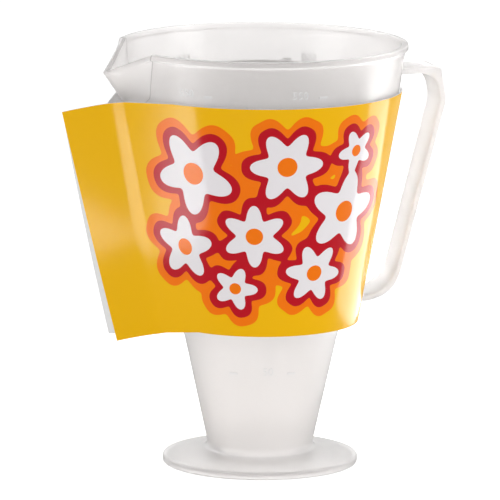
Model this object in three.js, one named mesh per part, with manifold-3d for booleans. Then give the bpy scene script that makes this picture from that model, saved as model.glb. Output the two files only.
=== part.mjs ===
// A measuring cup moulded in one piece, with a pouring spout, a strap handle and a flared
// foot, and the printed card sleeve that is slipped up round its bowl.
// Lengths are millimetres and +Z is up. The spout points to -X and the handle to +X.
// The origin is on the cup's axis, in the plane that the foot stands on.

import * as THREE from 'three';
import { mergeVertices } from 'three/addons/utils/BufferGeometryUtils.js';
import { ConvexGeometry } from 'three/addons/geometries/ConvexGeometry.js';
import Module from 'manifold-3d';

// Cup: heights, stacked from the table up
const FOOT_HEIGHT = 6;
const STEM_LENGTH = 40.7;
const BOWL_LENGTH = 93.7;
const COLLAR_LENGTH = 19.6;

// Cup: outer radii where those stretches meet, and how far the collar opens from there up
const FOOT_RADIUS = 36.8;
const STEM_BASE_RADIUS = 19.5;
const BOWL_BASE_RADIUS = 28.4;
const COLLAR_BASE_RADIUS = 51.2;
const COLLAR_FLARE = 2.7;

// Cup: wall, floor, foot edge and rim bead
const WALL = 1.8;
const FLOOR = 1.8;
const FOOT_EDGE = 2.9;
const FOOT_RING_WIDTH = 2.4;
const FOOT_FILLET = 2.2;
const EDGE_ROUNDING = 0.6;
const BEAD_DEPTH = 2.6;
const BEAD_PROUD = 0.8;

// Spout: a V that opens from the collar and slopes down to its lip
const SPOUT_HALF_ANGLE = 26;
const SPOUT_FOLD_HALF_ANGLE = 20.5;
const SPOUT_FOLD_DEPTH = 17;
const SPOUT_REACH = 7.6;
const SPOUT_LIP_DROP = 9.6;
const SPOUT_KEEL_DEPTH = 27.3;

// Handle: a flat strap, bent to shape
const STRAP_WIDTH = 18;
const STRAP_THICKNESS = 2.3;
const HANDLE_TOP_DROP = 10.5;
const HANDLE_REACH = 17.4;
const HANDLE_SHOULDER_DROP = 12.4;
const HANDLE_SHOULDER_FLARE = 2.3;
const HANDLE_FOOT_RISE = 14.5;
const HANDLE_FOOT_REACH = 17.8;
const HANDLE_TOP_BEND = 1.6;
const HANDLE_SHOULDER_BEND = 9;
const HANDLE_LOWER_BEND = 15;

// Graduations: raised arcs at equal steps of volume, in two columns
const TICK_VOLUME = 50;
const TICKS_PER_LONG_TICK = 2;
const FIRST_TICK = 1;
const TICK_HEIGHT = 0.8;
const TICK_PROUD = 0.25;
const TICK_LENGTH = 3.2;
const LONG_TICK_LENGTH = 5.6;
const TICK_COLUMN_ANGLES = [-80, -128];
const MILLILITRE = 1000;

// Sleeve: card that stands off the wall at its foot and hugs it at its top edge
const CARD = 0.45;
const SLEEVE_CLEARANCE = 0.6;
const SLEEVE_TOP_OVER_COLLAR_BASE = 2.1;
const SLEEVE_BOTTOM_OVER_BOWL_BASE = 7.9;
const SLEEVE_BOTTOM_STANDOFF = 6.2;
const SLEEVE_BACK_RISE = 3;
const BACK_RISE_ANGLE = 75;
const BACK_RISE_SPREAD = 75;
const SLOT_CLEARANCE = 1;

// Fin: the sleeve's two ends, glued flat together beyond the spout. Its edges drop a little,
// and it is wider at its foot, where the back layer shows past the front one.
const KEEL_TO_PINCH = 6.6;
const PINCH_ANGLE = 5.1;
const FIN_SWING = 35.2;
const FIN_LENGTH = 19.2;
const FIN_FOOT_SPREAD = 4;
const FIN_TOP_DROP = 1.8;
const FIN_BOTTOM_DROP = 2.8;
const PINCH_TOP_DROP = 1;
const PINCH_BOTTOM_DROP = 2.1;
const FRONT_BEND_RADIUS = 25;
const BACK_LAYER_OVERHANG = 4;
const BACK_LAYER_RISE = 3.4;

// How finely round forms are divided
const TURN_SEGMENTS = 72;
const ARC_STEP = 12;

const bowlBaseHeight = FOOT_HEIGHT + STEM_LENGTH;
const collarBaseHeight = bowlBaseHeight + BOWL_LENGTH;
const rimHeight = collarBaseHeight + COLLAR_LENGTH;
const rimRadius = COLLAR_BASE_RADIUS + COLLAR_FLARE;

const wasm = await Module();
wasm.setup();

// Solids

function toSolid(geometry) {
  const bare = geometry.clone();
  bare.deleteAttribute('normal');
  bare.deleteAttribute('uv');
  const merged = mergeVertices(bare, 1e-4);
  const mesh = new wasm.Mesh({
    numProp: 3,
    vertProperties: new Float32Array(merged.attributes.position.array),
    triVerts: new Uint32Array(merged.index.array),
  });
  return new wasm.Manifold(mesh);
}

function toMesh(solid, name, material) {
  const mesh = solid.getMesh();
  const geometry = new THREE.BufferGeometry();
  geometry.setAttribute('position', new THREE.BufferAttribute(mesh.vertProperties, 3));
  geometry.setIndex(new THREE.BufferAttribute(mesh.triVerts, 1));
  geometry.computeVertexNormals();
  const part = new THREE.Mesh(geometry, material);
  part.name = name;
  return part;
}

function joined(solids) {
  return solids.reduce((sum, solid) => sum.add(solid));
}

// Turns a profile of (radius, height) points about +Z.
function turned(profile) {
  const geometry = new THREE.LatheGeometry(profile, TURN_SEGMENTS);
  geometry.rotateX(Math.PI / 2);
  return toSolid(geometry);
}

// Pulls a shape drawn in the XZ plane along Y, centred on the plane of symmetry.
function pulledAcross(shape, width) {
  const geometry = new THREE.ExtrudeGeometry(shape, { depth: width, bevelEnabled: false });
  geometry.translate(0, 0, -width / 2);
  geometry.rotateX(Math.PI / 2);
  return toSolid(geometry);
}

function convexThrough(points) {
  return toSolid(new ConvexGeometry(points));
}

// Curves

function polar(radius, degrees) {
  const angle = THREE.MathUtils.degToRad(degrees);
  return new THREE.Vector2(radius * Math.cos(angle), radius * Math.sin(angle));
}

// The points of a path whose corners are rounded, each to its own radius.
function roundedPath(corners) {
  const points = [];
  corners.forEach(({ at, radius }, i) => {
    if (!radius) {
      points.push(at.clone());
      return;
    }
    const back = corners[i - 1].at.clone().sub(at).normalize();
    const ahead = corners[i + 1].at.clone().sub(at).normalize();
    const half = Math.acos(THREE.MathUtils.clamp(back.dot(ahead), -1, 1)) / 2;
    const centre = back.clone().add(ahead).normalize().multiplyScalar(radius / Math.sin(half)).add(at);
    const start = at.clone().addScaledVector(back, radius / Math.tan(half)).sub(centre);
    const end = at.clone().addScaledVector(ahead, radius / Math.tan(half)).sub(centre);
    const sweep = Math.atan2(start.cross(end), start.dot(end));
    const steps = Math.max(1, Math.ceil(THREE.MathUtils.radToDeg(Math.abs(sweep)) / ARC_STEP));
    for (let step = 0; step <= steps; step += 1) {
      const swung = start.clone().rotateAround(new THREE.Vector2(), (sweep * step) / steps);
      points.push(swung.add(centre));
    }
  });
  return points;
}

// The wall's outer radius at a height. Inside the foot the stem's slope runs on down.
function wallRadius(height) {
  const levels = [
    [FOOT_HEIGHT, STEM_BASE_RADIUS],
    [bowlBaseHeight, BOWL_BASE_RADIUS],
    [collarBaseHeight, COLLAR_BASE_RADIUS],
    [rimHeight, rimRadius],
  ];
  const next = Math.max(1, levels.findIndex(([level]) => level >= height));
  const [[lowLevel, lowRadius], [highLevel, highRadius]] = [levels[next - 1], levels[next]];
  return THREE.MathUtils.mapLinear(height, lowLevel, highLevel, lowRadius, highRadius);
}

// Cup

const undersideSlope = (FOOT_HEIGHT - FOOT_EDGE) / (FOOT_RADIUS - STEM_BASE_RADIUS);

function cupBody() {
  const beadTop = rimRadius + BEAD_PROUD - EDGE_ROUNDING;
  const beadBase = rimHeight - BEAD_DEPTH;
  const corners = [
    { at: new THREE.Vector2(0, 0) },
    { at: new THREE.Vector2(FOOT_RADIUS, 0), radius: EDGE_ROUNDING },
    { at: new THREE.Vector2(FOOT_RADIUS, FOOT_EDGE), radius: EDGE_ROUNDING },
    { at: new THREE.Vector2(STEM_BASE_RADIUS, FOOT_HEIGHT), radius: FOOT_FILLET },
    { at: new THREE.Vector2(BOWL_BASE_RADIUS, bowlBaseHeight) },
    { at: new THREE.Vector2(COLLAR_BASE_RADIUS, collarBaseHeight) },
    { at: new THREE.Vector2(wallRadius(beadBase), beadBase) },
    { at: new THREE.Vector2(beadTop + EDGE_ROUNDING, beadBase + EDGE_ROUNDING) },
    { at: new THREE.Vector2(beadTop + EDGE_ROUNDING, rimHeight), radius: EDGE_ROUNDING },
    { at: new THREE.Vector2(0, rimHeight) },
  ];
  return turned(roundedPath(corners));
}

// The room inside the cup. It runs on past the rim, so that the cut leaves the mouth open.
function cupCavity() {
  const mouth = rimHeight + BEAD_DEPTH;
  const floorRadius = wallRadius(FLOOR) - WALL;
  const corners = [
    { at: new THREE.Vector2(0, FLOOR) },
    { at: new THREE.Vector2(floorRadius, FLOOR), radius: FOOT_FILLET },
    { at: new THREE.Vector2(BOWL_BASE_RADIUS - WALL, bowlBaseHeight) },
    { at: new THREE.Vector2(COLLAR_BASE_RADIUS - WALL, collarBaseHeight) },
    { at: new THREE.Vector2(rimRadius - WALL, rimHeight) },
    { at: new THREE.Vector2(rimRadius - WALL, mouth) },
    { at: new THREE.Vector2(0, mouth) },
  ];
  return turned(roundedPath(corners));
}

// The groove under the foot's flange, between the ring at its edge and the cup's own floor.
function footGroove() {
  const ringInner = FOOT_RADIUS - FOOT_RING_WIDTH;
  const ringRoof = FOOT_EDGE - FLOOR;
  const stemRoof = ringRoof + (ringInner - STEM_BASE_RADIUS) * undersideSlope;
  const below = -FLOOR;
  return turned([
    new THREE.Vector2(STEM_BASE_RADIUS, below),
    new THREE.Vector2(ringInner, below),
    new THREE.Vector2(ringInner, ringRoof),
    new THREE.Vector2(STEM_BASE_RADIUS, stemRoof),
    new THREE.Vector2(STEM_BASE_RADIUS, below),
  ]);
}

// Spout

const spoutTipRadius = rimRadius + SPOUT_REACH;
const spoutTipHeight = rimHeight - SPOUT_LIP_DROP;
const keelFootHeight = rimHeight - SPOUT_KEEL_DEPTH;
const keelSlope = (spoutTipRadius - wallRadius(keelFootHeight)) / (spoutTipHeight - keelFootHeight);

function onWall(halfAngle, height, side) {
  const plan = polar(wallRadius(height), 180 - side * halfAngle);
  return new THREE.Vector3(plan.x, plan.y, height);
}

// The two corners where the V leaves the rim, its two folds lower down, its lip and its keel's foot.
function spoutCorners() {
  const foldHeight = rimHeight - SPOUT_FOLD_DEPTH;
  return [
    onWall(SPOUT_HALF_ANGLE, rimHeight, 1),
    onWall(SPOUT_HALF_ANGLE, rimHeight, -1),
    onWall(SPOUT_FOLD_HALF_ANGLE, foldHeight, 1),
    onWall(SPOUT_FOLD_HALF_ANGLE, foldHeight, -1),
    new THREE.Vector3(-spoutTipRadius, 0, spoutTipHeight),
    new THREE.Vector3(-wallRadius(keelFootHeight), 0, keelFootHeight),
  ];
}

// The same V again, moved towards the axis by its wall and run up past the rim.
function spoutChannel() {
  const [corner, , fold, , tip] = spoutCorners();
  const alongLip = tip.clone().sub(corner);
  const alongWall = fold.clone().sub(corner);
  const facet = alongLip.cross(alongWall).normalize();
  const shift = WALL / Math.abs(facet.x);
  const inner = spoutCorners().map((point) => point.add(new THREE.Vector3(shift, 0, 0)));
  const above = inner.map(({ x, y }) => new THREE.Vector3(x, y, rimHeight + BEAD_DEPTH));
  const inwards = [...inner, ...above].map(({ x, y, z }) => new THREE.Vector3(x / 2, y / 2, z));
  return convexThrough([...inner, ...above, ...inwards]);
}

// Everything above the sloping lip, outside the rim's two corners.
function aboveLip() {
  const [corner, , , , tip] = spoutCorners();
  const slope = (corner.z - tip.z) / (corner.x - tip.x);
  const far = tip.x - SPOUT_REACH;
  const top = rimHeight + BEAD_DEPTH;
  const shape = new THREE.Shape([
    new THREE.Vector2(corner.x, rimHeight),
    new THREE.Vector2(corner.x, top),
    new THREE.Vector2(far, top),
    new THREE.Vector2(far, rimHeight - (corner.x - far) * slope),
  ]);
  return pulledAcross(shape, 2 * rimRadius);
}

// Handle

const strapTop = rimHeight - HANDLE_TOP_DROP;
const strapFoot = bowlBaseHeight + HANDLE_FOOT_RISE;
const strapFootWall = wallRadius(strapFoot);

// The strap's outer corners, from the collar out, down the grip and back to the bowl.
function strapCorners() {
  const topReach = wallRadius(strapTop) + HANDLE_REACH - HANDLE_SHOULDER_FLARE;
  const shoulder = new THREE.Vector2(topReach + HANDLE_SHOULDER_FLARE, strapTop - HANDLE_SHOULDER_DROP);
  const heel = new THREE.Vector2(strapFootWall + HANDLE_FOOT_REACH, strapFoot);
  return [
    { at: new THREE.Vector2(wallRadius(strapTop) - WALL - 1, strapTop) },
    { at: new THREE.Vector2(topReach, strapTop), radius: HANDLE_TOP_BEND },
    { at: shoulder, radius: HANDLE_SHOULDER_BEND },
    { at: heel, radius: HANDLE_LOWER_BEND },
    { at: new THREE.Vector2(strapFootWall - WALL - 1, strapFoot) },
  ];
}

// The same path again on the strap's inner face, one thickness further in.
function strapInnerCorners() {
  const outer = strapCorners();
  const sideways = outer.slice(1).map(({ at }, i) => {
    const along = at.clone().sub(outer[i].at).normalize();
    return new THREE.Vector2(along.y, -along.x).multiplyScalar(STRAP_THICKNESS);
  });
  return outer.map(({ at, radius }, i) => {
    const before = sideways[Math.max(0, i - 1)];
    const after = sideways[Math.min(sideways.length - 1, i)];
    const middle = before.clone().add(after).normalize();
    const mitre = STRAP_THICKNESS / middle.dot(after.clone().normalize());
    const inner = at.clone().addScaledVector(middle, mitre);
    const innerRadius = i === 1 ? HANDLE_SHOULDER_BEND - HANDLE_TOP_BEND : radius - STRAP_THICKNESS;
    return { at: inner, radius: radius ? innerRadius : undefined };
  });
}

function handle() {
  const outer = roundedPath(strapCorners());
  const inner = roundedPath(strapInnerCorners());
  return pulledAcross(new THREE.Shape([...outer, ...inner.reverse()]), STRAP_WIDTH);
}

// Graduations

// The heights at which the cup holds one step of volume, two steps, and so on.
function tickHeights() {
  const slice = 0.05;
  const heights = [];
  let held = 0;
  for (let height = FLOOR; height < spoutTipHeight - TICK_HEIGHT; height += slice) {
    held += (Math.PI * (wallRadius(height) - WALL) ** 2 * slice) / MILLILITRE;
    if (held >= TICK_VOLUME * (heights.length + FIRST_TICK)) {
      heights.push(height);
    }
  }
  return heights;
}

// A thin raised ring round the wall, of which a tick keeps a short arc.
function tickRing(height) {
  const low = height - TICK_HEIGHT / 2;
  const high = height + TICK_HEIGHT / 2;
  const inside = wallRadius(low) - WALL / 2;
  return turned([
    new THREE.Vector2(inside, low),
    new THREE.Vector2(wallRadius(low) + TICK_PROUD, low),
    new THREE.Vector2(wallRadius(high) + TICK_PROUD, high),
    new THREE.Vector2(inside, high),
    new THREE.Vector2(inside, low),
  ]);
}

function tick(height, number, columnAngle) {
  const length = number % TICKS_PER_LONG_TICK === 0 ? LONG_TICK_LENGTH : TICK_LENGTH;
  const window = new THREE.BoxGeometry(rimRadius, length, 2 * TICK_HEIGHT);
  window.translate(wallRadius(height), 0, height);
  window.rotateZ(THREE.MathUtils.degToRad(columnAngle));
  return tickRing(height).intersect(toSolid(window));
}

function ticks() {
  const arcs = TICK_COLUMN_ANGLES.map((angle) => (
    tickHeights().map((height, i) => tick(height, i + FIRST_TICK, angle))
  ));
  return joined(arcs.flat());
}

function cup() {
  const outside = joined([cupBody(), convexThrough(spoutCorners()), handle(), ticks()]);
  return outside.subtract(cupCavity()).subtract(footGroove()).subtract(spoutChannel()).subtract(aboveLip());
}

// Sleeve

// The card lies on a cone: its rulings start at the bottom edge and just clear the wall.
const sleeveTop = collarBaseHeight + SLEEVE_TOP_OVER_COLLAR_BASE;
const sleeveBottom = bowlBaseHeight + SLEEVE_BOTTOM_OVER_BOWL_BASE;
const bottomRadius = wallRadius(sleeveBottom) + SLEEVE_BOTTOM_STANDOFF;
const sleeveSlope = Math.max(...[collarBaseHeight, sleeveTop + SLEEVE_BACK_RISE].map((height) => (
  (wallRadius(height) + SLEEVE_CLEARANCE + CARD / 2 - bottomRadius) / (height - sleeveBottom)
)));
const topRadius = bottomRadius + sleeveSlope * (sleeveTop - sleeveBottom);
const apexHeight = sleeveBottom - bottomRadius / sleeveSlope;
const coneHeight = sleeveTop - apexHeight;
const topSlant = Math.hypot(topRadius, coneHeight);
const bottomSlant = Math.hypot(bottomRadius, sleeveBottom - apexHeight);

const pinchHeight = sleeveTop - CARD;
const pinchRadius = spoutTipRadius - (spoutTipHeight - pinchHeight) * keelSlope + KEEL_TO_PINCH;
const pinch = polar(pinchRadius, 180 + PINCH_ANGLE);
const finDirection = polar(1, 180 - FIN_SWING);
const finFront = new THREE.Vector2(-finDirection.y, finDirection.x);

// The point at a slant distance from the cone's apex, on the ruling through a point of the
// plan that is drawn at the height of the top edge.
function onRuling(plan, slant) {
  const share = slant / Math.hypot(plan.x, plan.y, coneHeight);
  return new THREE.Vector3(plan.x * share, plan.y * share, apexHeight + coneHeight * share);
}

// The plan of the card between its bend near the fin and its crease at the fin, as a loop
// that runs counter-clockwise from the pinch round the front, the handle side and the back.
function sleevePlan() {
  const bendCentre = pinch.clone().addScaledVector(finFront, FRONT_BEND_RADIUS);
  const bendCentreAngle = THREE.MathUtils.radToDeg(Math.atan2(bendCentre.y, bendCentre.x));
  const lean = Math.acos((topRadius + FRONT_BEND_RADIUS) / bendCentre.length());
  const frontAngle = bendCentreAngle + THREE.MathUtils.radToDeg(lean);
  const pinchLean = Math.acos(topRadius / pinch.length());
  const backAngle = 180 + PINCH_ANGLE - THREE.MathUtils.radToDeg(pinchLean);
  const bendStart = 180 - FIN_SWING - 90;
  const bendEnd = frontAngle + 180;
  const bendSteps = 4;
  const plan = [];
  for (let step = 0; step <= bendSteps; step += 1) {
    const angle = THREE.MathUtils.lerp(bendStart, bendEnd, step / bendSteps);
    plan.push(polar(FRONT_BEND_RADIUS, angle).add(bendCentre));
  }
  const roundSteps = Math.round((backAngle - frontAngle) / (360 / TURN_SEGMENTS));
  for (let step = 0; step <= roundSteps; step += 1) {
    plan.push(polar(topRadius, THREE.MathUtils.lerp(frontAngle, backAngle, step / roundSteps)));
  }
  return plan;
}

// How much higher the top edge runs at the back than at the front.
function backRise(plan) {
  const angle = THREE.MathUtils.radToDeg(Math.atan2(plan.y, plan.x));
  const away = Math.min(1, Math.abs(angle - BACK_RISE_ANGLE) / BACK_RISE_SPREAD);
  return SLEEVE_BACK_RISE * Math.cos((away * Math.PI) / 2) ** 2;
}

// How far a point of the plan has left the round: 0 on the round and 1 from the pinch on.
function standOff(plan) {
  const out = (plan.length() - topRadius) / (pinchRadius - topRadius);
  return 1 - (1 - THREE.MathUtils.clamp(out, 0, 1)) ** 2;
}

// A loop of points moved sideways in plan by a distance, with mitred corners.
function moveSideways(loop, distance) {
  return loop.map((point, i) => {
    const before = loop[(i + loop.length - 1) % loop.length];
    const after = loop[(i + 1) % loop.length];
    const arriving = new THREE.Vector2(point.x - before.x, point.y - before.y).normalize();
    const leaving = new THREE.Vector2(after.x - point.x, after.y - point.y).normalize();
    const middle = arriving.clone().add(leaving).normalize();
    const mitre = distance / middle.dot(arriving);
    return new THREE.Vector3(point.x + middle.y * mitre, point.y - middle.x * mitre, point.z);
  });
}

// A closed strip with four edges: outer bottom, outer top, inner top and inner bottom.
function strip(rings) {
  const count = rings[0].length;
  const index = [];
  rings.forEach((ring, level) => {
    const nextLevel = (level + 1) % rings.length;
    ring.forEach((point, i) => {
      const next = (i + 1) % count;
      const [low, lowNext] = [level * count + i, level * count + next];
      const [high, highNext] = [nextLevel * count + i, nextLevel * count + next];
      index.push(low, lowNext, highNext, low, highNext, high);
    });
  });
  const geometry = new THREE.BufferGeometry().setFromPoints(rings.flat());
  geometry.setIndex(index);
  return toSolid(geometry);
}

function band() {
  const plan = sleevePlan();
  const bottom = plan.map((point) => (
    onRuling(point, bottomSlant - PINCH_BOTTOM_DROP * standOff(point))
  ));
  const top = plan.map((point) => (
    onRuling(point, topSlant + backRise(point) - PINCH_TOP_DROP * standOff(point))
  ));
  return strip([
    moveSideways(bottom, CARD / 2),
    moveSideways(top, CARD / 2),
    moveSideways(top, -CARD / 2),
    moveSideways(bottom, -CARD / 2),
  ]);
}

// Glued card from the pinch out, between two offsets from the card's middle.
function finLayer(near, far, overhang, rise) {
  const end = pinch.clone().addScaledVector(finDirection, FIN_LENGTH);
  const bottomEnd = end.clone().addScaledVector(finDirection, FIN_FOOT_SPREAD + overhang);
  const edges = [
    onRuling(pinch, topSlant - PINCH_TOP_DROP),
    onRuling(pinch, bottomSlant - PINCH_BOTTOM_DROP),
    onRuling(end, topSlant - FIN_TOP_DROP),
    onRuling(bottomEnd, bottomSlant - FIN_BOTTOM_DROP + rise),
  ];
  const corners = [near, far].map((offset) => edges.map(({ x, y, z }) => (
    new THREE.Vector3(x + finFront.x * offset, y + finFront.y * offset, z)
  )));
  return convexThrough(corners.flat());
}

// The slot that the strap comes through, open at the top edge.
function handleSlot() {
  const slotBottom = strapFoot - SLOT_CLEARANCE;
  const slotTop = rimHeight;
  const reach = topRadius;
  const slot = new THREE.BoxGeometry(reach, STRAP_WIDTH + 2 * SLOT_CLEARANCE, slotTop - slotBottom);
  slot.translate(strapFootWall + reach / 2, 0, (slotTop + slotBottom) / 2);
  return toSolid(slot);
}

function sleeve() {
  const front = CARD / 2;
  const back = front - 2 * CARD;
  const bothLayers = finLayer(front, back, 0, 0);
  const backLayer = finLayer(back + CARD, back, BACK_LAYER_OVERHANG, BACK_LAYER_RISE);
  return joined([band(), bothLayers, backLayer]).subtract(handleSlot());
}

// Scene

const plastic = new THREE.MeshStandardMaterial({
  color: 0xe8e4e0,
  roughness: 0.35,
  metalness: 0,
  transparent: true,
  opacity: 0.55,
});
const card = new THREE.MeshStandardMaterial({ color: 0xf0b90f, roughness: 0.3, metalness: 0 });

const measuringCup = new THREE.Group();
measuringCup.add(toMesh(cup(), 'cup', plastic));
measuringCup.add(toMesh(sleeve(), 'printed_sleeve', card));

export default measuringCup;
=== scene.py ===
# %% [markdown]
# # A measuring cup in its card sleeve
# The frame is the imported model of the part. It fixes where everything is, in metres, with +Z up,
# the spout towards -X and the handle towards +X. This script dresses it: a fine surface for the
# moulded cup, raised graduations, a printed card sleeve, and a plain studio round them.

# %% Load the frame
import math

import bmesh
import bpy
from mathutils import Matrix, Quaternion, Vector


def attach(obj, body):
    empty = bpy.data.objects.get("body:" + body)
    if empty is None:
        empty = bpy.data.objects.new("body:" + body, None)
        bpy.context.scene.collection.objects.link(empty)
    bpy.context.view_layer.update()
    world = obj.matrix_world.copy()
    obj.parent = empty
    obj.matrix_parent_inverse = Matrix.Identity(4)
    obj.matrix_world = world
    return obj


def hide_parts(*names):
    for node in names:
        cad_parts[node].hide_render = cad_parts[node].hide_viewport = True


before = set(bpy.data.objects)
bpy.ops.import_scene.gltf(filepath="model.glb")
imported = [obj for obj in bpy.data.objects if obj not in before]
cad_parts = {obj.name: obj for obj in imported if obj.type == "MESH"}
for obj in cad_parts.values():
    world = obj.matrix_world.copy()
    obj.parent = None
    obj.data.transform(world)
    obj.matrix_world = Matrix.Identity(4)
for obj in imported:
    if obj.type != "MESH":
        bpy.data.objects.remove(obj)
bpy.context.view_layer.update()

# %% [markdown]
# ## Sizes
# All sizes are millimetres, as on a moulder's drawing, and each mesh is scaled to metres once, when
# it is finished. The heights are stacked from the table up, and the radii belong to the levels
# where one stretch of the wall meets the next.

# %% The cup's driving sizes
MM = 0.001
FOOT_HEIGHT = 6.0
STEM_LENGTH = 40.7
BOWL_LENGTH = 93.7
COLLAR_LENGTH = 19.6
FOOT_RADIUS = 36.8
STEM_BASE_RADIUS = 19.5
BOWL_BASE_RADIUS = 28.4
COLLAR_BASE_RADIUS = 51.2
COLLAR_FLARE = 2.7
WALL = 1.8
FLOOR = 1.8
FOOT_EDGE = 2.9
FOOT_RING_WIDTH = 2.4
BEAD_DEPTH = 2.6
BEAD_PROUD = 0.8
EDGE_ROUNDING = 0.6

BOWL_BASE = FOOT_HEIGHT + STEM_LENGTH
COLLAR_BASE = BOWL_BASE + BOWL_LENGTH
RIM = COLLAR_BASE + COLLAR_LENGTH
RIM_RADIUS = COLLAR_BASE_RADIUS + COLLAR_FLARE
CUP_FLOOR = FLOOR
print("rim at", RIM, "mm, radius", RIM_RADIUS)


# %% Where the wall is
def mapped(value, low, high, to_low, to_high):
    """Carries a value from one range to another in a straight line."""
    return to_low + (value - low) / (high - low) * (to_high - to_low)


def wall_radius(height):
    """The wall's outer radius at a height."""
    if height < BOWL_BASE:
        return mapped(height, FOOT_HEIGHT, BOWL_BASE, STEM_BASE_RADIUS, BOWL_BASE_RADIUS)
    if height < COLLAR_BASE:
        return mapped(height, BOWL_BASE, COLLAR_BASE, BOWL_BASE_RADIUS, COLLAR_BASE_RADIUS)
    return mapped(height, COLLAR_BASE, RIM, COLLAR_BASE_RADIUS, RIM_RADIUS)


def smooth_step(value, low, high):
    """Rises from 0 to 1 between two values, flat at both ends."""
    share = min(1.0, max(0.0, (value - low) / (high - low)))
    return share * share * (3 - 2 * share)


print("wall radius at half height", round(wall_radius(RIM / 2), 2))

# %% [markdown]
# ## Helpers for pieces
# Every piece starts as a bmesh in millimetres. Finishing it scales it to metres, shades it smooth
# with its real edges kept sharp, names it and lets it ride on the one body that the part has.


# %% Finish a piece
def finish_piece(bm, name, materials, sharp_degrees=35):
    """Turns a bmesh in millimetres into a piece of the model."""
    bmesh.ops.scale(bm, vec=(MM, MM, MM), verts=bm.verts)
    mesh = bpy.data.meshes.new(name)
    bm.to_mesh(mesh)
    bm.free()
    for material in materials:
        mesh.materials.append(material)
    mesh.shade_smooth()
    mesh.set_sharp_from_angle(angle=math.radians(sharp_degrees))
    piece = bpy.data.objects.new(name, mesh)
    bpy.context.scene.collection.objects.link(piece)
    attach(piece, "root")
    print(name, len(mesh.polygons), "faces")
    return piece


# %% Round a path's corners
def rounded_path(corners, arc_step=6.0):
    """The points of a path of (x, z, radius) corners, each rounded to its own radius."""
    points = []
    for i, (x, z, radius) in enumerate(corners):
        here = Vector((x, z))
        if not radius:
            points.append(here)
            continue
        back = (Vector(corners[i - 1][:2]) - here).normalized()
        ahead = (Vector(corners[i + 1][:2]) - here).normalized()
        half = math.acos(max(-1.0, min(1.0, back.dot(ahead)))) / 2
        centre = here + (back + ahead).normalized() * (radius / math.sin(half))
        start = here + back * (radius / math.tan(half)) - centre
        end = here + ahead * (radius / math.tan(half)) - centre
        sweep = start.angle_signed(end)
        steps = max(2, math.ceil(abs(math.degrees(sweep)) / arc_step))
        for step in range(steps + 1):
            turn = -sweep * step / steps
            turned = Vector((
                start.x * math.cos(turn) - start.y * math.sin(turn),
                start.x * math.sin(turn) + start.y * math.cos(turn),
            ))
            points.append(centre + turned)
    return points


def finely(start, end, spacing):
    """Points along a straight stretch, no further apart than a spacing, without its end."""
    steps = max(1, math.ceil((end - start).length / spacing))
    return [start.lerp(end, step / steps) for step in range(steps)]


print("a quarter turn has", len(rounded_path([(0, 0, 0), (10, 0, 5), (10, 10, 0)])), "points")

# %% [markdown]
# ## The cup's plastic
# Natural polypropylene is milky. Light goes through it and scatters, so the wall glows softly
# against a bright room and turns greyer where two walls lie behind each other. A rough
# transmission does that in a Principled shader, and a faint bump keeps the moulded skin from
# looking like glass.


# %% Material helpers
def new_material(name):
    """A node material, its shader and its tree."""
    material = bpy.data.materials.new(name)
    material.use_nodes = True
    return material, material.node_tree.nodes["Principled BSDF"], material.node_tree


def add_node(tree, kind, **settings):
    """Adds a node to a tree and sets its properties."""
    node = tree.nodes.new(kind)
    for name, value in settings.items():
        setattr(node, name, value)
    return node


def math_node(tree, operation, *values):
    """A Math node on sockets or numbers, and its output."""
    node = add_node(tree, "ShaderNodeMath", operation=operation)
    for socket, value in zip(node.inputs, values):
        if isinstance(value, (int, float)):
            socket.default_value = value
        else:
            tree.links.new(value, socket)
    return node.outputs[0]


def add_noise(tree, scale, detail=2.0):
    """Noise in the object's own space, with about that many grains in a metre."""
    node = add_node(tree, "ShaderNodeTexNoise")
    node.inputs["Scale"].default_value = scale
    node.inputs["Detail"].default_value = detail
    place = add_node(tree, "ShaderNodeTexCoord").outputs["Object"]
    tree.links.new(place, node.inputs["Vector"])
    return node.outputs["Fac"]


def spread(tree, value, low, high):
    """Stretches a value from the range 0 to 1 over another one."""
    node = add_node(tree, "ShaderNodeMapRange")
    node.inputs["To Min"].default_value = low
    node.inputs["To Max"].default_value = high
    tree.links.new(value, node.inputs["Value"])
    return node.outputs["Result"]


def bump(tree, shader, height, strength, distance):
    """Leads a height to the shader's normal."""
    node = add_node(tree, "ShaderNodeBump")
    node.inputs["Strength"].default_value = strength
    node.inputs["Distance"].default_value = distance
    tree.links.new(height, node.inputs["Height"])
    tree.links.new(node.outputs["Normal"], shader.inputs["Normal"])


print("material helpers ready")


# %% Milky polypropylene
PLASTIC_IOR = 1.3
PLASTIC_COAT = 0.35
PLASTIC_COAT_ROUGHNESS = 0.1
PLASTIC_ROUGHNESS = (0.27, 0.36)
PLASTIC_GRAIN = 55
PLASTIC_BUMP = (0.12, 0.0006)


def make_plastic(name, colour, transmission):
    """Milky plastic with a glossy skin. Where it lets less light through, it stands out."""
    material, shader, tree = new_material(name)
    shader.inputs["Base Color"].default_value = colour
    shader.inputs["IOR"].default_value = PLASTIC_IOR
    shader.inputs["Transmission Weight"].default_value = transmission
    shader.inputs["Coat Weight"].default_value = PLASTIC_COAT
    shader.inputs["Coat Roughness"].default_value = PLASTIC_COAT_ROUGHNESS
    grain = add_noise(tree, PLASTIC_GRAIN, detail=3)
    tree.links.new(spread(tree, grain, *PLASTIC_ROUGHNESS), shader.inputs["Roughness"])
    bump(tree, shader, grain, *PLASTIC_BUMP)
    return material


plastic = make_plastic("milky_polypropylene", (0.965, 0.945, 0.935, 1), 0.75)
mark_plastic = make_plastic("raised_marks", (0.95, 0.95, 0.95, 1), 0.1)
# The darker grey plastic on the spout's creases and lip is painted shade for the dark lines that the
# plastic shows there.
crease_shade_plastic = make_plastic("creases_and_lip_painted_shade", (0.64, 0.62, 0.61, 1), 0.3)
print("made", plastic.name, mark_plastic.name, "and", crease_shade_plastic.name)
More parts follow.
